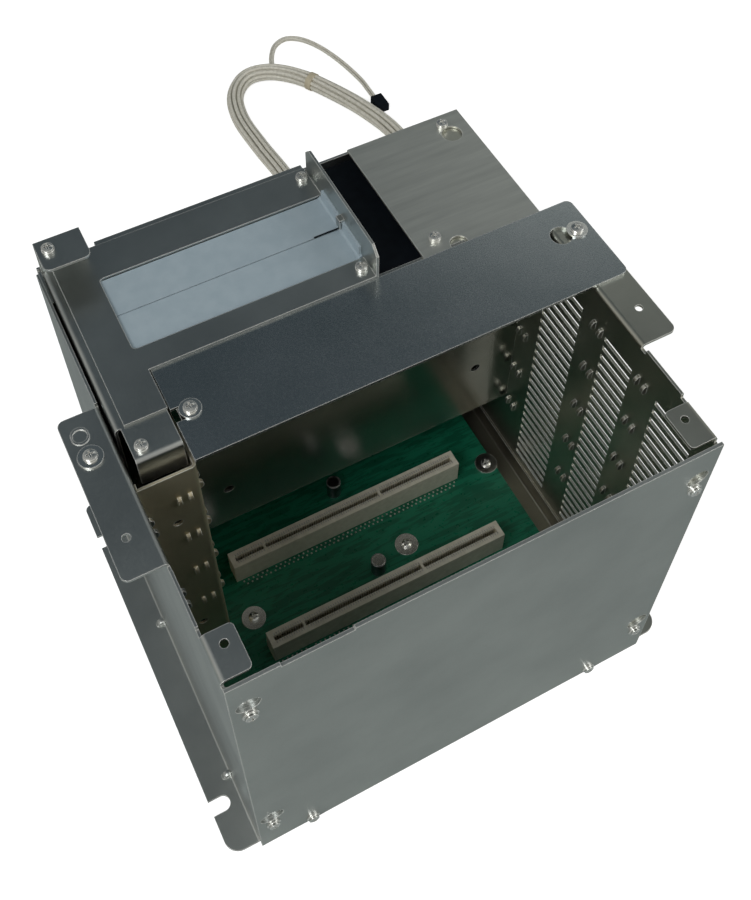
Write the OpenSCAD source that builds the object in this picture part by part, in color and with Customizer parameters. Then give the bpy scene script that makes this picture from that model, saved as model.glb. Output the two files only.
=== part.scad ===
// Open card cage with a two-slot backplane board on its floor and a closed box bay behind.
// Millimetres. +X right, +Y back, +Z up. The origin is the centre of the underside of the base.

/* [Cage] */
// Width over the outer faces of the two side walls
cage_w = 202; // [196:1:240]
// Depth from the front face of the panel to the back face of the rear wall
cage_d = 200; // [200:1:230]
// Height of the side walls
wall_h = 191; // [180:1:230]
// Sheet thickness of walls, floor and box plates
sheet_t = 1.2; // [1:0.1:1.4]
// Inside radius of every fold
fold_r = 1; // [0.8:0.1:1.2]
// Height of the floor's upturned edges
tray_lip_h = 12; // [10:1:14]

/* [Front panel] */
// Thickness of the front panel
panel_t = 1.5; // [1.2:0.1:2]
// Gap from the panel's top edge up to the top of the side walls
panel_drop = 0.6; // [0.2:0.1:2]
// Depth of the shallow step in the panel's top edge
panel_step_depth = 1.4; // [0.8:0.1:3]
// Length of that step
panel_step_len = 27.5; // [20:0.5:40]
// Start of that step from the left side
panel_step_x = 20.5; // [18:0.5:30]
// Inset of the corner screws from the cage sides
panel_screw_inset = 7; // [6.5:0.1:7.5]
// Height of the upper corner screws
panel_screw_top_z = 162.5; // [150:0.5:166]
// Height of the lower corner screws
panel_screw_low_z = 26; // [22:0.5:40]
// Diameter of the entry hole over the upper corner screws
entry_top_d = 9.4; // [8:0.1:10]
// Diameter of the entry hole over the lower corner screws
entry_low_d = 10.4; // [8:0.1:10.4]

/* [Base flanges] */
// Reach of the mounting flange beyond each side wall
foot_w = 14.5; // [13:0.5:20]
// Corner radius of the mounting flange
foot_corner_r = 7; // [4:0.5:8]
// Distance of the front notch centre behind the panel face
foot_notch_front_y = 24.5; // [22:0.5:30]
// Distance of the rear notch centre behind the panel face
foot_notch_rear_y = 172.5; // [150:0.5:175]
// Width of each flange notch
foot_notch_w = 7; // [5:0.5:8]
// Depth of each flange notch
foot_notch_depth = 9.3; // [7:0.1:10]

/* [Wall tops] */
// Reach of the ear beyond each side wall
ear_w = 15.9; // [14:0.1:18]
// Length of the ear along the wall
ear_len = 72.2; // [60:0.1:74]
// Distance from the ear's rear end to the box
ear_to_box = 5.1; // [5:0.1:6]
// Distance of the ear's plain hole outside the wall
ear_hole_out = 8.7; // [7:0.1:9]
// Distance of the ear's plain hole behind the panel face
ear_hole_y = 66.5; // [60:0.5:75]
// Reach of the front lug inside each side wall
lug_w = 12.2; // [11:0.1:12.4]
// Rear end of the front lug
lug_rear_y = 21.4; // [20:0.1:22]
// Distance of the lug hole behind the panel face
lug_hole_y = 15.3; // [12:0.1:16]
// Distance of the lug hole inside the wall's outer face
lug_hole_in = 6.7; // [6:0.1:7.5]
// Diameter of the plain holes in ears and lugs
small_hole_d = 3.2; // [2.5:0.1:3.6]

/* [Vents] */
// Pitch of the vent slots up the wall
vent_pitch = 6.1; // [6:0.1:6.2]
// Height of each vent slot
vent_h = 2.8; // [2:0.1:3.4]
// Number of vent slots in each of the three fields
vent_count = 26; // [10:1:26]
// Height of the lowest vent slot centre
vent_low_z = 18.1; // [17:0.1:19]

/* [Lances] */
// Height step between the lance pairs
lance_step = 30.5; // [30:0.1:30.6]
// Height of the lowest lance pair
lance_low_z = 49.7; // [48:0.1:51]
// Distance between the two lances of a pair
lance_gap = 5; // [4.6:0.1:5.4]

/* [Rear box] */
// Depth of the box from its front face to the back face of the rear wall
box_depth = 72; // [71.8:0.1:72.2]
// Rise of the top plate's upper face over the side walls
top_plate_rise = 2.7; // [2.7:0.1:2.7]
// Right side of the top plate, the outer face of its upright flange
upright_x = 124.6; // [122:0.1:126]
// Height of the upright flange over the top plate's underside
upright_h = 17.1; // [12:0.1:24]
// Left edge of the right rear plate
rear_plate_x = 146.5; // [144:0.5:160]
// Underside height of the box's front wall
bay_wall_low_z = 50; // [44:1:80]

/* [Strap] */
// Width of the strap, front to back
strap_w = 44.7; // [42:0.1:46]
// Thickness of the strap
strap_t = 1.4; // [1.2:0.1:1.4]
// Reach of the strap beyond the right wall
strap_over = 15.5; // [13:0.1:15.9]

/* [Backplane] */
// Height of the board's upper face
board_top_z = 7.4; // [6.8:0.1:8]
// Thickness of the board
board_t = 1.6; // [1.6:0.1:1.6]
// Distance between the two connectors
slot_spacing = 45.7; // [40:0.1:45.7]
// Distance of the front connector behind the panel face
slot_front_y = 75.4; // [72:0.1:76]
// Length of the connectors
conn_len = 128; // [128:1:128]
// Width of the connectors
conn_w = 8.9; // [8.5:0.1:9.5]
// Height of the connectors over the board
conn_h = 15.5; // [14:0.1:17]

/* [Hidden] */
$fn = 24;
box_front_y = cage_d - box_depth;
by = box_front_y;
column_y = by - 40;
top_plate_z = wall_h + top_plate_rise;
panel_h = wall_h - panel_drop;
ear_rear_y = by - ear_to_box;
ear_front_y = ear_rear_y - ear_len;
strap_front_y = by - strap_w;
zb = wall_h - sheet_t;
bend = fold_r + sheet_t;
flush_z = top_plate_z - 2 * sheet_t;
plate_low_z = top_plate_z - sheet_t;
rear_y = cage_d - sheet_t;
wall_end_y = cage_d - 4.6;
bay_y = box_front_y + 0.2;
board_left = 12.4;
board_right = cage_w - 12.4;
board_front = 8;
board_back = by + 24;
conn_left = 39.6;
lug_hole_span = cage_w - 2 * lug_hole_in;
ear_hole_span = cage_w + 2 * ear_hole_out;
upright_in = upright_x - sheet_t;
board_low_z = board_top_z - board_t;
tab_z = top_plate_z + 15.9;
screw_d = 3;

zinc = [0.72, 0.74, 0.74];
blue_zinc = [0.62, 0.68, 0.73];
golden = [0.62, 0.57, 0.45];

module in_cage() {
  translate([-cage_w / 2, -cage_d / 2, 0])
    children();
}

// Swaps the left side for the right side.
module right_hand() {
  translate([cage_w, 0, 0])
    mirror([1, 0, 0])
      children();
}

module block(from, to) {
  translate(from)
    cube([to[0] - from[0], to[1] - from[1], to[2] - from[2]]);
}

// Quarter of a sheet fold: centred on the fold axis, filling +X and +Y of it.
module fold_2d() {
  difference() {
    circle(r = bend, $fn = 32);
    circle(r = fold_r, $fn = 32);
    translate([-bend - 1, -bend - 1])
      square([bend + 1, 2 * bend + 2]);
    translate([-bend - 1, -bend - 1])
      square([2 * bend + 2, bend + 1]);
  }
}

// Fold running along Y from y0 to y1, axis at x, z, turned by a quarter count.
module fold_y(x, z, y0, y1, quarter) {
  translate([x, y1, z])
    rotate([90, 0, 0])
      linear_extrude(y1 - y0)
        rotate(90 * quarter)
          fold_2d();
}

// Fold running along Z from z0 to z1, axis at x, y.
module fold_z(x, y, z0, z1, quarter) {
  translate([x, y, z0])
    linear_extrude(z1 - z0)
      rotate(90 * quarter)
        fold_2d();
}

// Fold running along X from x0 to x1, axis at y, z.
module fold_x(y, z, x0, x1, quarter) {
  translate([x0, y, z])
    rotate([90, 0, 90])
      linear_extrude(x1 - x0)
        rotate(90 * quarter)
          fold_2d();
}

module hole_z(x, y, z0, z1, d) {
  translate([x, y, z0])
    cylinder(d = d, h = z1 - z0);
}

module hole_y(x, z, y0, y1, d) {
  translate([x, y1, z])
    rotate([90, 0, 0])
      cylinder(d = d, h = y1 - y0);
}

// Rectangle in plan with rounded corners, r for each: front left, front right, rear right, rear left.
module round_rect(x0, y0, x1, y1, r) {
  corner = [[x0, y0], [x1, y0], [x1, y1], [x0, y1]];
  difference() {
    translate([x0, y0])
      square([x1 - x0, y1 - y0]);
    for (i = [0:3])
      if (r[i] > 0)
        translate(corner[i])
          rotate(90 * i)
            difference() {
              translate([-1, -1])
                square(r[i] + 1);
              translate([r[i], r[i]])
                circle(r = r[i]);
            }
  }
}

module plate(x0, y0, x1, y1, z0, z1, r) {
  translate([0, 0, z0])
    linear_extrude(z1 - z0)
      round_rect(x0, y0, x1, y1, r);
}

// Board guide lance: a small half-round ridge pressed out of a sheet towards +X.
module lance(h, out) {
  intersection() {
    translate([0, -0.8, -h / 2])
      cube([out, 1.6, h]);
    translate([out - h / 2 - 0.4, 0, 0])
      rotate([90, 0, 0])
        cylinder(r = h / 2 + 0.4, h = 3, center = true);
  }
}

module foot_outline() {
  difference() {
    round_rect(-foot_w, 2.3, 0.2 - fold_r, wall_end_y, [foot_corner_r, 0, 0, 3]);
    for (y = [foot_notch_front_y, foot_notch_rear_y]) {
      translate([-foot_w - 1, y - foot_notch_w / 2])
        square([foot_notch_depth + 1 - foot_notch_w / 2, foot_notch_w]);
      translate([-foot_w + foot_notch_depth - foot_notch_w / 2, y])
        circle(d = foot_notch_w);
    }
  }
}

// Side wall with foot flange, ear, front lug and the strip behind the panel, left hand.
module wall_sheet(back_top, lance_rows) {
  step_y = ear_rear_y + 1.6;
  difference() {
    union() {
      block([0, panel_t + bend, bend], [sheet_t, wall_end_y, wall_h - bend]);
      block([0, lug_rear_y + 3.4, wall_h - bend - 0.1], [sheet_t, ear_front_y - 3, wall_h]);
      block([0, step_y, wall_h - bend - 0.1], [sheet_t, wall_end_y, back_top]);
      fold_y(-fold_r, bend, 2.3, wall_end_y, 3);
      linear_extrude(sheet_t)
        foot_outline();
      fold_y(-fold_r, wall_h - bend, ear_front_y, ear_rear_y, 0);
      plate(-ear_w, ear_front_y, 0.1 - fold_r, ear_rear_y, zb, wall_h, [3, 0, 0, 3]);
      fold_y(bend, wall_h - bend, panel_t + sheet_t + 0.9, lug_rear_y, 1);
      plate(bend - 0.1, panel_t + sheet_t + 0.9, lug_w, lug_rear_y, zb, wall_h, [0, 2, 2, 0]);
      fold_z(bend, panel_t + bend, 4, wall_h - 3.6, 2);
      block([bend - 0.1, panel_t, 4], [12.4, panel_t + sheet_t, wall_h - 3.6]);
      for (y = [35, 117])
        translate([-fold_r - 0.2, y, sheet_t - 0.2])
          intersection() {
            sphere(r = 3.2, $fn = 20);
            translate([-4, -1.2, 0])
              cube([5, 2.4, 4]);
          }
      for (i = [0:4])
        for (yc = lance_rows)
          for (s = [-0.5, 0.5])
            translate([sheet_t - 0.3, yc + s * lance_gap, lance_low_z + i * lance_step])
              lance(5, 2.8);
    }
    hole_z(-ear_hole_out, ear_hole_y, zb - 1, wall_h + 1, small_hole_d);
    hole_z(lug_hole_in, lug_hole_y, zb - 1, wall_h + 1, small_hole_d);
    hole_y(panel_screw_inset, panel_screw_top_z, 0, 4, screw_d);
    hole_y(panel_screw_inset, panel_screw_low_z, 0, 4, screw_d);
  }
}

module left_side_wall() {
  color(zinc)
    in_cage()
      difference() {
        union() {
          wall_sheet(wall_h, [44.8, 76]);
          plate(-12.9, by - 18.6, -6.1, by - 10.6, wall_h - 0.1, wall_h + 0.3, [3.4, 3.4, 3.4, 3.4]);
        }
        hole_z(-9.5, by - 14.6, wall_h - 0.1, wall_h + 1, 5.6);
        hole_z(-8.9, by - 25, zb - 1, wall_h + 1, screw_d);
      }
}

module vent_field(y0, y1, first) {
  for (i = [first:vent_count - 1])
    block([-1, y0, vent_low_z + i * vent_pitch - vent_h / 2],
          [sheet_t + 1, y1, vent_low_z + i * vent_pitch + vent_h / 2]);
}

module right_side_wall() {
  color(zinc)
    in_cage()
      right_hand()
        difference() {
          wall_sheet(zb, [44.8, 76, by - 5.4]);
          vent_field(87.4, 112.5, 0);
          vent_field(52, 70.8, 0);
          vent_field(12, 35.5, 0);
          hole_z(-8.7, by - 16.3, zb - 1, wall_h + 1, screw_d);
        }
}

module tray_lip() {
  fold_y(sheet_t + bend, bend, panel_t + bend, wall_end_y, 2);
  block([sheet_t, panel_t + bend, bend], [2 * sheet_t, wall_end_y, tray_lip_h]);
}

module base_tray() {
  color(zinc)
    in_cage()
      difference() {
        union() {
          block([sheet_t + bend, panel_t + bend, 0], [cage_w - sheet_t - bend, rear_y, sheet_t]);
          fold_x(panel_t + bend, bend, 14, cage_w - 14, 2);
          block([14, panel_t, bend], [cage_w - 14, panel_t + sheet_t, tray_lip_h]);
          tray_lip();
          right_hand()
            tray_lip();
        }
        for (x = [25.1, cage_w - 29.7])
          hole_y(x, 5, 0, 4, screw_d);
      }
}

module front_panel() {
  color(zinc)
    in_cage()
      difference() {
        block([0, 0, 0], [cage_w, panel_t, panel_h]);
        block([panel_step_x, -1, panel_h - panel_step_depth],
              [panel_step_x + panel_step_len, panel_t + 1, panel_h + 1]);
        for (x = [panel_screw_inset, cage_w - panel_screw_inset]) {
          hole_y(x, panel_screw_top_z, -1, 3, screw_d);
          hole_y(x, panel_screw_low_z, -1, 3, screw_d);
          hole_y(x, panel_screw_top_z + 8, -1, 3, entry_top_d);
          hole_y(x, panel_screw_low_z + 9, -1, 3, entry_low_d);
        }
        for (x = [25.1, cage_w - 29.7])
          hole_y(x, 5, -1, 3, screw_d);
      }
}

module rear_wall() {
  color(zinc)
    in_cage() {
      block([sheet_t, rear_y, 0], [cage_w - sheet_t, cage_d, zb]);
      block([27, rear_y, zb - 1], [upright_in, cage_d, plate_low_z]);
      block([27, rear_y - 10, flush_z], [upright_in, cage_d, plate_low_z]);
      for (x = [sheet_t, cage_w - 2 * sheet_t])
        block([x, cage_d - 20, tray_lip_h + 0.5], [x + sheet_t, cage_d, zb - 1]);
    }
}

module rear_tab_bracket() {
  color(zinc)
    in_cage()
      difference() {
        union() {
          block([2 * sheet_t, wall_end_y - sheet_t, tab_z - 59.6], [22, wall_end_y, tab_z]);
          plate(2.4, cage_d - 21, 22, wall_end_y, tab_z - sheet_t, tab_z, [3, 3, 0, 0]);
          block([2 * sheet_t, cage_d - 16, tab_z - 59.6], [3 * sheet_t, wall_end_y, zb - 3.8]);
        }
        hole_z(7.1, cage_d - 10.7, tab_z - 3, tab_z + 1, screw_d);
      }
}

module rear_box_side() {
  color(zinc)
    in_cage()
      difference() {
        union() {
          block([2.4, by - 19.5, tray_lip_h + 0.5], [3.6, cage_d - 22, plate_low_z - bend]);
          fold_y(2.4 + bend, plate_low_z - bend, by - 19.5, cage_d - 6, 1);
          block([2.3 + bend, by - 19.5, flush_z], [16, cage_d - 6, plate_low_z]);
          block([5, by - 35.9 + bend, flush_z], [23.6, by - 19, plate_low_z]);
          fold_x(by - 35.9 + bend, plate_low_z - bend, 5, 23.6, 1);
          block([5, by - 35.9, plate_low_z - 16], [23.6, by - 35.9 + sheet_t, plate_low_z - bend]);
        }
        hole_z(9.2, by - 30.3, flush_z - 1, top_plate_z, screw_d);
      }
}

module left_column() {
  color(golden)
    in_cage()
      difference() {
        union() {
          block([sheet_t, column_y, 13], [2.4, column_y + 3.5, wall_h - 11]);
          block([sheet_t, column_y, 13], [24, column_y + sheet_t, wall_h - 11]);
          block([13, column_y, board_top_z], [24, column_y + sheet_t, wall_h - 11]);
          block([24.8, column_y + bend - 0.1, board_top_z], [26, bay_y, wall_h - 11]);
          fold_z(26 - bend, column_y + bend, board_top_z, wall_h - 11, 3);
          for (i = [0:3])
            for (x = [16.4, 21]) {
              translate([x, column_y + 0.2, 69.3 + i * lance_step])
                rotate(-90)
                  lance(5, 2);
              translate([25.8, x + column_y - 13, 69.3 + i * lance_step])
                lance(5, 2);
            }
        }
        for (z = [47.8, 144.5])
          hole_y(13.9, z, column_y - 1, column_y + 3, 4);
      }
}

module bay_front_wall() {
  color(zinc)
    in_cage()
      difference() {
        union() {
          block([3.6, bay_y, bay_wall_low_z], [cage_w - sheet_t, bay_y + sheet_t, zb - sheet_t]);
          block([upright_x, bay_y, zb - 2 * sheet_t], [cage_w - sheet_t, by + 3, zb]);
          block([27, bay_y, zb - 2 * sheet_t], [upright_in, bay_y + sheet_t, plate_low_z]);
          block([27, bay_y, flush_z], [upright_in, by + 10, plate_low_z]);
          block([27, by - 27, zb - 0.4], [38, bay_y + sheet_t, wall_h]);
        }
        hole_y(47, 79, by - 1, by + 3, 5);
        hole_y(cage_w - 23, 89, by - 1, by + 3, 5);
        hole_z(31.6, by - 22.7, zb - 9, wall_h + 0.5, screw_d);
      }
}

module top_plate() {
  color(zinc)
    in_cage()
      difference() {
        union() {
          plate(6.5, box_front_y, upright_in, cage_d - 3.2, plate_low_z, top_plate_z, [0, 0, 0, 0]);
          block([6.5, by - 19.5, plate_low_z], [24, box_front_y + 1, top_plate_z]);
          difference() {
            block([upright_in, box_front_y, plate_low_z], [upright_x, cage_d - 6, plate_low_z + upright_h]);
            translate([upright_in + 0.6, box_front_y, plate_low_z + upright_h])
              rotate([45, 0, 0])
                cube([4, 6, 6], center = true);
            translate([upright_in + 0.6, cage_d - 6, plate_low_z + upright_h])
              rotate([45, 0, 0])
                cube([4, 5, 5], center = true);
          }
        }
        plate(21.9, by + 11.4, upright_in, by + 50.8, plate_low_z - 1, top_plate_z + 1, [2, 0, 0, 2]);
        block([0, cage_d - 6, plate_low_z - 1], [22.4, 200, top_plate_z + 1]);
        for (y = [by + 6.4, cage_d - 8.7])
          hole_z(upright_in - 3.5, y, plate_low_z - 1, top_plate_z + 1, screw_d);
      }
}

module right_rear_plate() {
  color([0.76, 0.77, 0.74])
    in_cage()
      difference() {
        block([rear_plate_x, by - 3.4, zb], [cage_w + 1.3, cage_d, wall_h]);
        hole_z(cage_w - 8.5, cage_d - 12.8, zb - 1, wall_h + 1, 9.4);
        hole_z(rear_plate_x + 17.3, by + 1.6, zb - 1, wall_h + 1, 8);
        hole_z(cage_w - 10, cage_d - 6.2, zb - 1, wall_h + 1, screw_d);
        hole_z(rear_plate_x + 9.3, by + 8.5, zb - 1, wall_h + 1, screw_d);
      }
}

module cross_strap() {
  color(zinc)
    in_cage()
      difference() {
        plate(24.6, strap_front_y, cage_w + strap_over, box_front_y,
              wall_h, wall_h + strap_t, [0, 3, 3, 0]);
        block([20, by - 26.5, wall_h - 1], [33.2, by - 20.2, wall_h + 3]);
        hole_z(cage_w + ear_hole_out, by - 16.3, wall_h - 1, wall_h + 3, screw_d);
        hole_z(cage_w + 1.2, by - 15.7, wall_h - 1, wall_h + 3, 9.5);
      }
}

module blank(y0, y1) {
  color(blue_zinc)
    in_cage() {
      block([17, y0, plate_low_z - 1], [upright_in - 3, y1, plate_low_z]);
      fold_y(upright_in - bend, plate_low_z - 1 + bend, y0, y1, 3);
      block([upright_in - 3.2, y0, plate_low_z - 1], [upright_in - bend, y1, plate_low_z]);
      block([upright_in - sheet_t, y0 + 1.5, plate_low_z + 1], [upright_in, y1 - 1.5, plate_low_z + 6]);
    }
}

module slot_blank_front() {
  blank(by + 12, by + 30.5);
}

module slot_blank_rear() {
  blank(by + 30.9, by + 50.5);
}

module bay_liner() {
  color([0.05, 0.06, 0.08])
    in_cage()
      block([upright_x - 12.6, bay_y + sheet_t, zb - 5.8], [rear_plate_x + 13.5, rear_y, zb - 4.6]);
}

module backplane_board() {
  color([0.02, 0.3, 0.2])
    in_cage()
      block([board_left, board_front, board_low_z], [board_right, board_back, board_top_z]);
}

module board_standoffs() {
  color(zinc)
    in_cage()
      for (p = [[39.4, 95.5], [125.1, 95.4], [board_right - 3.9, 117.2], [39.4, 20], [board_right - 3.9, 20], [125, 146]])
        hole_z(p[0], p[1], sheet_t, board_low_z, 6);
}

module connector(y) {
  color([0.85, 0.82, 0.72])
    in_cage()
      difference() {
        block([conn_left, y - conn_w / 2, board_top_z],
              [conn_left + conn_len, y + conn_w / 2, board_top_z + conn_h]);
        for (span = [[2.5, 17.7], [18.9, 82.4], [83.7, 125.5]])
          block([conn_left + span[0], y - 1.2, board_top_z + 4],
                [conn_left + span[1], y + 1.2, board_top_z + conn_h + 1]);
      }
}

module connector_front() {
  connector(slot_front_y);
}

module connector_rear() {
  connector(slot_front_y + slot_spacing);
}

module capacitors() {
  color([0.2, 0.2, 0.22])
    in_cage()
      for (p = [[105.9, 90.1], [105.6, 139.7]])
        hole_z(p[0], p[1], board_top_z, board_top_z + 10.5, 7.5);
}

// Screw head with its washer, standing on the plane z = 0.
module screw(head_d, washer_d) {
  color([0.8, 0.8, 0.78])
    difference() {
      union() {
        cylinder(d = washer_d, h = 0.8);
        intersection() {
          cylinder(d = head_d, h = 2.6);
          translate([0, 0, 2.6 - head_d])
            sphere(d = 2 * head_d, $fn = 32);
        }
      }
      for (a = [0, 90])
        rotate(a)
          translate([-1.5, -0.3, 1.6])
            cube([3, 0.6, 2]);
    }
}

module board_screws() {
  in_cage()
    for (p = [[39.4, 95.5], [125.1, 95.4], [board_right - 3.9, 117.2]])
      translate([p[0], p[1], board_top_z])
        screw(5, 12);
}

module panel_screws() {
  in_cage()
    for (x = [panel_screw_inset, cage_w - panel_screw_inset, 25.1, cage_w - 29.7])
      for (z = x == 25.1 || x == cage_w - 29.7 ? [5] : [panel_screw_low_z, panel_screw_top_z])
        translate([x, 0, z])
          rotate([90, 0, 0])
            screw(5, 6.4);
}

module strap_screws() {
  in_cage()
    for (x = [31.6, cage_w + ear_hole_out])
      translate([x, x < 50 ? by - 23.3 : by - 16.3, wall_h + strap_t])
        screw(5.4, 9);
}

module ear_screw() {
  in_cage()
    translate([-8.9, by - 25, wall_h])
      screw(5.4, 10);
}

module plate_screws() {
  in_cage()
    for (p = [[upright_in - 3.5, by + 6.4, top_plate_z], [upright_in - 3.5, cage_d - 8.7, top_plate_z], [7.1, cage_d - 10.7, tab_z],
              [9.2, by - 30.3, plate_low_z], [cage_w - 10, cage_d - 6.2, wall_h], [rear_plate_x + 9.3, by + 8.5, wall_h]])
      translate(p)
        screw(5, 5.4);
}

wire_d = 12;
wire_path = [[150, 200, 14], [150, 207, 14], [150, 216, 12], [152, 228, 8], [158, 245, 6.5],
             [168, 280, 6.5], [177, 320, 6.5], [180, 355, 6.5], [177, 390, 6.5],
             [176, 420, 6.5], [182, 443, 6.5], [196, 456, 6.5], [213, 454, 6.5],
             [229, 440, 6.5], [242, 418, 6.5], [254, 391, 6.5], [262, 362, 6.5],
             [262, 330, 6.5], [250, 298, 6.5], [228, 268, 6.5], [206, 246, 6.5],
             [190, 230, 8], [185, 216, 12], [185, 207, 14], [185, 200, 14]];
thin_d = 4;
thin_path = [[216, 458.6, 4], [219, 464, 2.2], [223, 473, 2.2], [230, 482, 2.2],
             [240, 485, 2.2], [250, 478, 2.2], [258, 463, 2.2], [264, 443, 2.2],
             [267.6, 422, 2.2], [268, 410, 2.2], [268, 400, 2.2]];

function unit(v) = v / norm(v);
function heading(p, i) = unit(p[min(i + 1, len(p) - 1)] - p[max(i - 1, 0)]);
function ring(p, i, d, sides) =
  let (t = i == 0 ? unit(p[1] - p[0]) : i == len(p) - 1 ? unit(p[i] - p[i - 1]) : heading(p, i),
       u = unit(cross(t, [0, 0, 1])),
       v = cross(u, t))
  [for (k = [0:sides - 1])
    p[i] + d / 2 * (cos(360 * k / sides) * u + sin(360 * k / sides) * v)];

// Plain tube swept along a row of points.
module swept_tube(path, d, sides) {
  n = len(path);
  points = [for (i = [0:n - 1]) each ring(path, i, d, sides)];
  skin = [for (i = [0:n - 2]) for (k = [0:sides - 1])
    [i * sides + k, i * sides + (k + 1) % sides,
     (i + 1) * sides + (k + 1) % sides, (i + 1) * sides + k]];
  ends = [[for (k = [sides - 1:-1:0]) k], [for (k = [0:sides - 1]) (n - 1) * sides + k]];
  polyhedron(points, concat(skin, ends));
}

module wire_bundle() {
  color([0.9, 0.88, 0.8])
    in_cage()
      swept_tube(wire_path, wire_d, 12);
}

module thin_wire_loop() {
  color([0.9, 0.88, 0.8])
    in_cage()
      swept_tube(thin_path, thin_d, 8);
}

module loop_plug() {
  color([0.05, 0.05, 0.06])
    in_cage()
      block([264, 388, 0.1], [272, 400, 6]);
}

base_tray();
left_side_wall();
right_side_wall();
front_panel();
rear_wall();
rear_tab_bracket();
rear_box_side();
left_column();
bay_front_wall();
top_plate();
right_rear_plate();
cross_strap();
slot_blank_front();
slot_blank_rear();
bay_liner();
backplane_board();
board_standoffs();
connector_front();
connector_rear();
capacitors();
board_screws();
panel_screws();
strap_screws();
ear_screw();
plate_screws();
wire_bundle();
thin_wire_loop();
loop_plug();
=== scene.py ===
import bpy, math, random
from mathutils import Vector, Matrix


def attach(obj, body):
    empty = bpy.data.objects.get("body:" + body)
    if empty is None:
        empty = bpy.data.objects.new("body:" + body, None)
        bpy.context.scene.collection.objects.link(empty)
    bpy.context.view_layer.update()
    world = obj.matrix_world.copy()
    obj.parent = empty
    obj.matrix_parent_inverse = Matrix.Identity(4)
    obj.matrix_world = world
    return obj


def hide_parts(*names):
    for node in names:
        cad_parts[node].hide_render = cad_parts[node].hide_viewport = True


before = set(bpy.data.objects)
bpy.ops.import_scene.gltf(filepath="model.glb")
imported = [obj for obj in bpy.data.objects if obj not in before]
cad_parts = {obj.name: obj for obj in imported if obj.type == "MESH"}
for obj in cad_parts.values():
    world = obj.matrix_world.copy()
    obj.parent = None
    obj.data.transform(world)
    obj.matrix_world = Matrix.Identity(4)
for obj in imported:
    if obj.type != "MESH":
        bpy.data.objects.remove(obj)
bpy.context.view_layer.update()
rng = random.Random(7)
OX, OY = -0.101, -0.1

# ---- camera -------------------------------------------------------------
cam_data = bpy.data.cameras.new("view_camera")
cam = bpy.data.objects.new("view_camera", cam_data)
bpy.context.scene.collection.objects.link(cam)
fwd = Vector((0.2838, 0.5580, -0.7798)).normalized()
right = Vector((0.8886, -0.4586, -0.0048))
right = (right - fwd * right.dot(fwd)).normalized()
up = right.cross(fwd)
cam.matrix_world = Matrix((
    (right.x, up.x, -fwd.x, -0.1256),
    (right.y, up.y, -fwd.y, -0.2466),
    (right.z, up.z, -fwd.z, 0.5865),
    (0, 0, 0, 1)))
cam_data.sensor_width = 36
cam_data.lens = 49.02
cam_data.shift_x = 0.0193
cam_data.shift_y = -0.2004
cam_data.clip_start = 0.02
bpy.context.scene.camera = cam
bpy.context.scene.view_settings.view_transform = "Standard"


# ---- materials ----------------------------------------------------------
class Mat:
    """Builds one procedural material on object coordinates."""

    def __init__(self, name):
        self.m = bpy.data.materials.new(name)
        self.m.use_nodes = True
        self.t = self.m.node_tree
        self.n = self.t.nodes
        self.b = self.n["Principled BSDF"]
        self.co = self.n.new("ShaderNodeTexCoord").outputs["Object"]

    def link(self, a, b):
        self.t.links.new(a, b)

    def noise(self, scale, detail=4, stretch=(1, 1, 1), rough=0.55):
        mp = self.n.new("ShaderNodeMapping")
        mp.inputs["Scale"].default_value = stretch
        nz = self.n.new("ShaderNodeTexNoise")
        nz.inputs["Scale"].default_value = scale
        nz.inputs["Detail"].default_value = detail
        nz.inputs["Roughness"].default_value = rough
        self.link(self.co, mp.inputs["Vector"])
        self.link(mp.outputs[0], nz.inputs["Vector"])
        return nz.outputs[0]

    def ramp(self, src, stops):
        r = self.n.new("ShaderNodeValToRGB")
        e = r.color_ramp.elements
        while len(e) < len(stops):
            e.new(0.5)
        for k, (p, c) in enumerate(stops):
            e[k].position = p
            e[k].color = (*c, 1) if not isinstance(c, float) else (c, c, c, 1)
        self.link(src, r.inputs[0])
        return r.outputs[0]

    def edge_highlight_mask(self):
        """Painted highlight mask: 1 on the cut edges and folds of a sheet, 0 on its faces."""
        bv = self.n.new("ShaderNodeBevel")
        bv.samples = 4
        bv.inputs["Radius"].default_value = 0.0006
        geo = self.n.new("ShaderNodeNewGeometry")
        dot = self.n.new("ShaderNodeVectorMath")
        dot.operation = "DOT_PRODUCT"
        self.link(bv.outputs[0], dot.inputs[0])
        self.link(geo.outputs["Normal"], dot.inputs[1])
        return self.ramp(dot.outputs["Value"], [(0.80, 1.0), (0.97, 0.0)])

    def bump(self, src, dist, strength=0.4, edge=0.00035):
        bv = self.n.new("ShaderNodeBevel")
        bv.samples = 4
        bv.inputs["Radius"].default_value = edge
        bp = self.n.new("ShaderNodeBump")
        bp.inputs["Distance"].default_value = dist
        bp.inputs["Strength"].default_value = strength
        self.link(src, bp.inputs["Height"])
        self.link(bv.outputs[0], bp.inputs["Normal"])
        self.link(bp.outputs[0], self.b.inputs["Normal"])


def metal(name, dark, light, rough, stretch=(1, 1, 1), gain=0.05):
    k = Mat(name)
    spangle = k.noise(26, 6, stretch)
    col = k.ramp(spangle, [(0.3, dark), (0.7, light)])
    # Painted highlight: cut edges and folds are mixed towards near white and made less metallic.
    edge = k.edge_highlight_mask()
    edge_highlight_mix = k.n.new("ShaderNodeMix")
    edge_highlight_mix.data_type = "RGBA"
    edge_highlight_mix.inputs["B"].default_value = (0.92, 0.92, 0.88, 1)
    k.link(edge, edge_highlight_mix.inputs["Factor"])
    k.link(col, edge_highlight_mix.inputs["A"])
    k.link(edge_highlight_mix.outputs["Result"], k.b.inputs["Base Color"])
    k.link(k.ramp(edge, [(0.0, 1.0), (1.0, 0.35)]), k.b.inputs["Metallic"])
    rg = k.ramp(k.noise(1100, 3, stretch), [(0.2, rough - gain), (0.8, rough + gain)])
    k.link(rg, k.b.inputs["Roughness"])
    k.bump(k.noise(1300, 2, stretch), 0.00003, 0.25)
    return k.m


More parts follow.
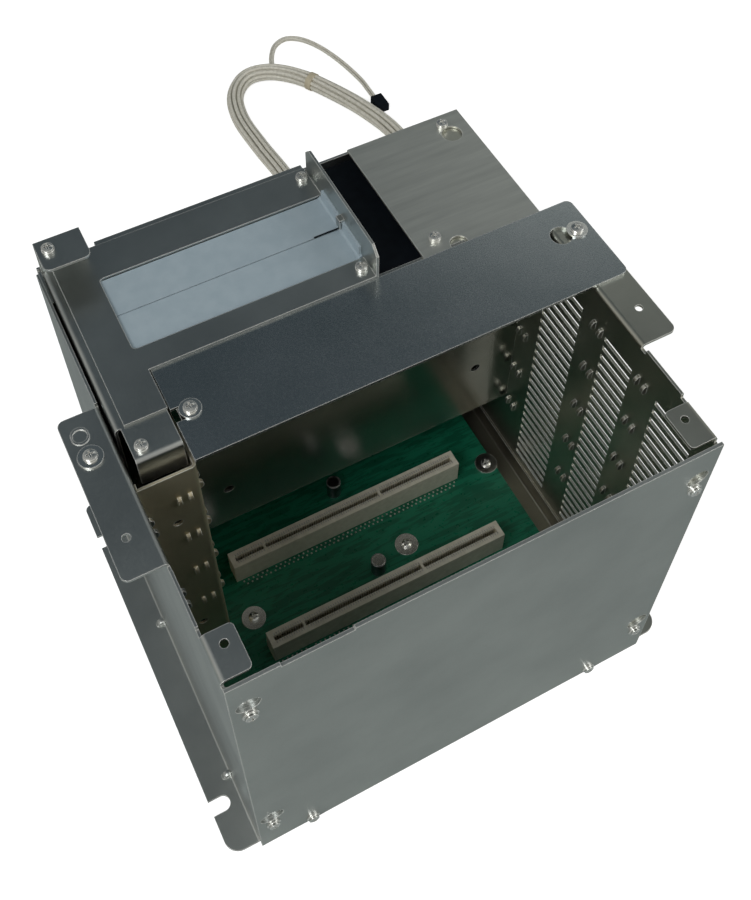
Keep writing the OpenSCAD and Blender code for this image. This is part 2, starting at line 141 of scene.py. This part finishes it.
def dull(name, dark, light, rough, scale=300):
    k = Mat(name)
    k.link(k.ramp(k.noise(scale), [(0.35, dark), (0.65, light)]), k.b.inputs["Base Color"])
    k.link(k.ramp(k.noise(scale * 2), [(0.3, rough - 0.06), (0.7, rough + 0.06)]),
           k.b.inputs["Roughness"])
    k.bump(k.noise(scale * 3), 0.00004, 0.3)
    return k.m


zinc = metal("zinc_sheet", (0.42, 0.44, 0.43), (0.56, 0.58, 0.56), 0.32)
panel_zinc = metal("panel_zinc", (0.42, 0.44, 0.425), (0.50, 0.52, 0.50), 0.42)
slate = metal("strap_zinc", (0.37, 0.41, 0.42), (0.46, 0.49, 0.50), 0.26)
blue = dull("blank_blue", (0.33, 0.41, 0.46), (0.36, 0.44, 0.49), 0.5, 160)
golden = metal("column_zinc", (0.68, 0.60, 0.42), (0.80, 0.73, 0.55), 0.5)
brushed = metal("plate_brushed", (0.58, 0.59, 0.55), (0.70, 0.71, 0.66), 0.45, (1, 12, 1))
polished = metal("bay_wall_polished", (0.34, 0.34, 0.32), (0.44, 0.44, 0.41), 0.2)
tray_zinc = metal("tray_zinc", (0.30, 0.29, 0.24), (0.40, 0.39, 0.33), 0.4)
wall_zinc = metal("wall_zinc", (0.44, 0.44, 0.38), (0.56, 0.56, 0.49), 0.34)
screwm = metal("screw_plate", (0.66, 0.66, 0.63), (0.84, 0.84, 0.81), 0.2)
ivory = dull("connector_ivory", (0.70, 0.67, 0.55), (0.80, 0.77, 0.65), 0.5)
# Near-black and nearly unreflective: the real black of the loop plug, and painted shade where it lines the
# rear bay and fills the seam between the slot blanks.
black_and_painted_shade = dull("plug_black_and_bay_shade", (0.002, 0.004, 0.007), (0.004, 0.007, 0.011), 0.8)
black_and_painted_shade.node_tree.nodes["Principled BSDF"].inputs["Specular IOR Level"].default_value = 0.15
can = metal("capacitor_can", (0.16, 0.16, 0.19), (0.28, 0.28, 0.31), 0.3)
wire = dull("wire_jacket", (0.62, 0.60, 0.52), (0.76, 0.74, 0.66), 0.4, 500)
tie_mat = dull("tie_nylon", (0.50, 0.44, 0.32), (0.60, 0.54, 0.40), 0.5)
contact = metal("contact_metal", (0.55, 0.48, 0.28), (0.72, 0.66, 0.42), 0.25)

# The board: solder mask over faint tracks.
k = Mat("board_mask")
tracks = k.ramp(k.noise(70, 2, (1, 8, 1)), [(0.46, (0.006, 0.12, 0.065)), (0.52, (0.012, 0.19, 0.105))])
k.link(tracks, k.b.inputs["Base Color"])
k.link(k.ramp(k.noise(500), [(0.3, 0.25), (0.7, 0.4)]), k.b.inputs["Roughness"])
k.bump(k.noise(200, 2, (1, 6, 1)), 0.00005, 0.3)
board = k.m

finish_of = {
    "front_panel": panel_zinc, "cross_strap": slate, "slot_blank_front": blue,
    "slot_blank_rear": blue, "left_column": golden, "right_rear_plate": brushed,
    "bay_front_wall": polished, "connector_front": ivory, "connector_rear": ivory,
    "bay_liner": black_and_painted_shade, "base_tray": tray_zinc, "right_side_wall": wall_zinc, "loop_plug": black_and_painted_shade, "thin_wire_loop": wire, "backplane_board": board, "capacitors": can,
    "board_screws": screwm, "panel_screws": screwm, "strap_screws": screwm,
    "ear_screw": screwm, "plate_screws": screwm, "wire_bundle": wire}
for name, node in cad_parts.items():
    node.data.materials.clear()
    node.data.materials.append(finish_of.get(name, zinc))


# ---- added pieces -------------------------------------------------------
def add(name, verts, faces, mat, slot_name, smooth=False):
    me = bpy.data.meshes.new(name)
    me.from_pydata([tuple(v) for v in verts], [], faces)
    me.materials.append(mat)
    for p in me.polygons:
        p.use_smooth = smooth
    o = bpy.data.objects.new(name, me)
    bpy.context.scene.collection.objects.link(o)
    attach(o, "root")
    return o


def tube(path, r, sides, verts, faces):
    base = len(verts)
    n = len(path)
    u = Vector((0, 0.01, 1))
    for i, p in enumerate(path):
        if i == 0 and abs((path[1] - p).normalized().z) > 0.9:
            u = Vector((1, 0, 0))
        t = (path[min(i + 1, n - 1)] - path[max(i - 1, 0)]).normalized()
        u = (u - t * u.dot(t)).normalized()
        v = t.cross(u)
        for s in range(sides):
            a = 2 * math.pi * s / sides
            verts.append(p + r * (math.cos(a) * u + math.sin(a) * v))
    for i in range(n - 1):
        for s in range(sides):
            a, b = base + i * sides + s, base + i * sides + (s + 1) % sides
            faces.append((a, b, b + sides, a + sides))
    faces.append(tuple(base + s for s in reversed(range(sides))))
    faces.append(tuple(base + (n - 1) * sides + s for s in range(sides)))


def smooth_path(points, steps):
    out = []
    for i in range(len(points) - 1):
        p0, p1 = points[max(i - 1, 0)], points[i]
        p2, p3 = points[i + 1], points[min(i + 2, len(points) - 1)]
        for s in range(steps):
            t = s / steps
            out.append(0.5 * (2 * p1 + (p2 - p0) * t + (2 * p0 - 5 * p1 + 4 * p2 - p3) * t ** 2
                              + (3 * p1 - p0 - 3 * p2 + p3) * t ** 3))
    out.append(points[-1])
    return out


# Wire centrelines in millimetres from the front left base corner.
WIRE = [(150, 200, 14), (150, 207, 14), (150, 216, 12), (152, 228, 8), (158, 245, 6.5),
        (168, 280, 6.5), (177, 320, 6.5), (180, 355, 6.5), (177, 390, 6.5), (176, 420, 6.5),
        (182, 443, 6.5), (196, 456, 6.5), (213, 454, 6.5), (229, 440, 6.5), (242, 418, 6.5),
        (254, 391, 6.5), (262, 362, 6.5), (262, 330, 6.5), (250, 298, 6.5), (228, 268, 6.5),
        (206, 246, 6.5), (190, 230, 8), (185, 216, 12), (185, 207, 14), (185, 200, 14)]
THIN = [(216, 458.6, 4), (219, 464, 2.2), (223, 473, 2.2), (230, 482, 2.2), (240, 485, 2.2),
        (250, 478, 2.2), (258, 463, 2.2), (264, 443, 2.2), (267.6, 422, 2.2), (268, 410, 2.2),
        (268, 400, 2.2)]


def placed(points, steps):
    return smooth_path([Vector((OX + x / 1000, OY + y / 1000, z / 1000)) for x, y, z in points], steps)


def strands(line, places, r, sides, twist):
    verts, faces = [], []
    for rad, deg in places:
        pts = []
        u = Vector((0, 0, 1))
        for i, p in enumerate(line):
            t = (line[min(i + 1, len(line) - 1)] - line[max(i - 1, 0)]).normalized()
            u = (u - t * u.dot(t)).normalized()
            v = t.cross(u)
            a = math.radians(deg) + i * twist
            pts.append(p + rad * (math.cos(a) * u + math.sin(a) * v))
        tube(pts, r, sides, verts, faces)
    return verts, faces


centre = placed(WIRE, 6)
places = [(0.0, 0.0)] + [(0.0026, 60 * i) for i in range(6)] + [(0.0046, 40 * i + 10) for i in range(9)]
bundle = add("wire_bundle_strands", *strands(centre, places, 0.00125, 8, 0.02), wire, "wire_white", True)
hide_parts("wire_bundle")

verts, faces = [], []
tube([centre[80], centre[81]], 0.0063, 24, verts, faces)
band = add("bundle_tie", verts, faces, tie_mat, "wire_white")

thin_line = placed(THIN, 4)
thin = add("thin_wire_strands", *strands(thin_line, [(0.0011, 120 * i) for i in range(3)], 0.0009, 8, 0.05),
           wire, "wire_white", True)
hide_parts("thin_wire_loop")


def boxes(name, items, mat, slot_name):
    verts, faces = [], []
    for x, y, z, sx, sy, sz in items:
        b = len(verts)
        for dz in (0, 1):
            for dy in (0, 1):
                for dx in (0, 1):
                    verts.append((OX + (x + dx * sx) / 1000, OY + (y + dy * sy) / 1000,
                                  (z + dz * sz) / 1000))
        faces += [tuple(b + q for q in f) for f in (
            (0, 2, 3, 1), (4, 5, 7, 6), (0, 1, 5, 4), (2, 6, 7, 3), (0, 4, 6, 2), (1, 3, 7, 5))]
    return add(name, verts, faces, mat, slot_name)


CONNECTOR_LEFT = 39.6
CONNECTOR_ROWS = (75.4, 121.1)
CONTACT_PITCH = 1.27


def contact_places():
    """(index, x, y of the slot) of each contact, leaving out the two ribs."""
    for yc in CONNECTOR_ROWS:
        for i in range(97):
            x = CONNECTOR_LEFT + 3 + i * CONTACT_PITCH
            along = x - CONNECTOR_LEFT
            if not (17.5 < along < 19.2 or 82 < along < 84):
                yield i, x, yc


# Connector contacts and the solder points in front of them.
contacts, joints = [], []
for i, x, yc in contact_places():
    for side in (-1.15, 0.75):
        contacts.append((x, yc + side, 11.4, 0.6, 0.4, 10.6))
    joints.append((x, yc - 6.2 - (i % 2) * 1.8, 7.35, 0.8, 0.8, 0.35))
boxes("slot_contacts", contacts, contact, "fastener")
boxes("solder_points", joints, screwm, "fastener")
# Small pale component marks on the board.
marks = []
for i in range(60):
    marks.append((rng.uniform(20, 180), rng.uniform(12, 66), 7.35, rng.uniform(0.6, 1.6), 0.6, 0.25))
boxes("board_marks", marks, tie_mat, "connector_ivory")
# Painted shade: a thin near-black strip in the gap between the two slot blanks.
boxes("blank_gap_shade", [(110, 158.4, 193, 13, 0.6, 0.3)], black_and_painted_shade, "black_liner")

# Painted shade: flat dark patches along both lips of each connector slot stand in for the shade in its
# notches.
notch_shade_patches = []
for i, x, yc in contact_places():
    for dy in (-2.7, 1.3):
        notch_shade_patches.append((x, yc + dy, 22.8, 0.55, 1.4, 0.15))
boxes("slot_notch_shade", notch_shade_patches, tray_zinc, "connector_ivory")
boxes("plate_backing", [(187.5, 181, 188.4, 12, 12.5, 1.2), (158, 131.2, 188.4, 11.5, 4, 1.2)],
      wall_zinc, "zinc")
boxes("blank_clip", [(121.0, 156.6, 198.6, 2.4, 3.4, 1.2), (121.0, 156.6, 194.5, 0.8, 3.4, 4.6)], zinc, "zinc")
# Bright capacitor tops.
verts, faces = [], []
for cx, cy in ((105.9, 90.1), (105.6, 139.7)):
    tube([Vector((OX + cx / 1000, OY + cy / 1000, 0.0179)),
          Vector((OX + cx / 1000, OY + cy / 1000 + 1e-7, 0.01805))], 0.0033, 24, verts, faces)
add("capacitor_tops", verts, faces, screwm, "capacitor_can")

# ---- light and stage ----------------------------------------------------
floor_me = bpy.data.meshes.new("floor")
floor_me.from_pydata([(-4, -4, 0), (4, -4, 0), (4, 4, 0), (-4, 4, 0)], [], [(0, 1, 2, 3)])
floor = bpy.data.objects.new("floor", floor_me)
bpy.context.scene.collection.objects.link(floor)
fm = bpy.data.materials.new("floor_pale")
fm.use_nodes = True
ft = fm.node_tree
fb = ft.nodes["Principled BSDF"]
fb.inputs["Base Color"].default_value = (0.86, 0.86, 0.86, 1)
fb.inputs["Roughness"].default_value = 0.9
# Painted reflection: glossy rays see the floor as a darker blue-grey than its pale colour.
glossy_floor_shade = ft.nodes.new("ShaderNodeMix")
glossy_floor_shade.data_type = "RGBA"
glossy_floor_shade.inputs["A"].default_value = (0.86, 0.86, 0.86, 1)
glossy_floor_shade.inputs["B"].default_value = (0.42, 0.46, 0.46, 1)
glow = ft.nodes.new("ShaderNodeEmission")
glow.inputs["Strength"].default_value = 0.7
path_info = ft.nodes.new("ShaderNodeLightPath")
off = ft.nodes.new("ShaderNodeEmission")
off.inputs["Strength"].default_value = 0.0
pick = ft.nodes.new("ShaderNodeMixShader")
addn = ft.nodes.new("ShaderNodeAddShader")
ft.links.new(path_info.outputs["Is Camera Ray"], pick.inputs[0])
ft.links.new(path_info.outputs["Is Glossy Ray"], glossy_floor_shade.inputs["Factor"])
ft.links.new(glossy_floor_shade.outputs["Result"], fb.inputs["Base Color"])
ft.links.new(off.outputs[0], pick.inputs[1])
ft.links.new(glow.outputs[0], pick.inputs[2])
ft.links.new(fb.outputs[0], addn.inputs[0])
ft.links.new(pick.outputs[0], addn.inputs[1])
ft.links.new(addn.outputs[0], ft.nodes["Material Output"].inputs["Surface"])
floor_me.materials.append(fm)

world = bpy.data.worlds.new("studio")
bpy.context.scene.world = world
world.use_nodes = True
wt = world.node_tree
bg = wt.nodes["Background"]
co = wt.nodes.new("ShaderNodeTexCoord")
dot = wt.nodes.new("ShaderNodeVectorMath")
dot.operation = "DOT_PRODUCT"
dot.inputs[1].default_value = (0.25, 0.58, 0.77)
wt.links.new(co.outputs["Generated"], dot.inputs[0])
sky = wt.nodes.new("ShaderNodeValToRGB")
e = sky.color_ramp.elements
e[0].position, e[0].color = 0.45, (0.75, 0.74, 0.70, 1)
e[1].position, e[1].color = 0.93, (0.12, 0.15, 0.17, 1)
m = e.new(0.72)
m.color = (0.42, 0.44, 0.44, 1)
wt.links.new(dot.outputs["Value"], sky.inputs[0])
wp = wt.nodes.new("ShaderNodeLightPath")
mix = wt.nodes.new("ShaderNodeMix")
mix.data_type = "RGBA"
mix.inputs["B"].default_value = (1, 1, 1, 1)
wt.links.new(wp.outputs["Is Camera Ray"], mix.inputs["Factor"])
wt.links.new(sky.outputs[0], mix.inputs["A"])
wt.links.new(mix.outputs["Result"], bg.inputs["Color"])
bg.inputs["Strength"].default_value = 0.6


def area(name, loc, size, power, colour=(1, 1, 1)):
    d = bpy.data.lights.new(name, "AREA")
    d.size = size
    d.energy = power
    d.color = colour
    o = bpy.data.objects.new(name, d)
    bpy.context.scene.collection.objects.link(o)
    o.location = loc
    o.rotation_euler = (Vector((0, 0, 0.08)) - Vector(loc)).to_track_quat("-Z", "Y").to_euler()


area("key_light", (-0.9, -0.5, 1.2), 0.6, 8)
area("side_light", (1.1, -0.6, 0.9), 0.8, 5)
area("back_light", (1.2, 1.3, 1.6), 0.7, 0.8, (1, 1, 0.93))
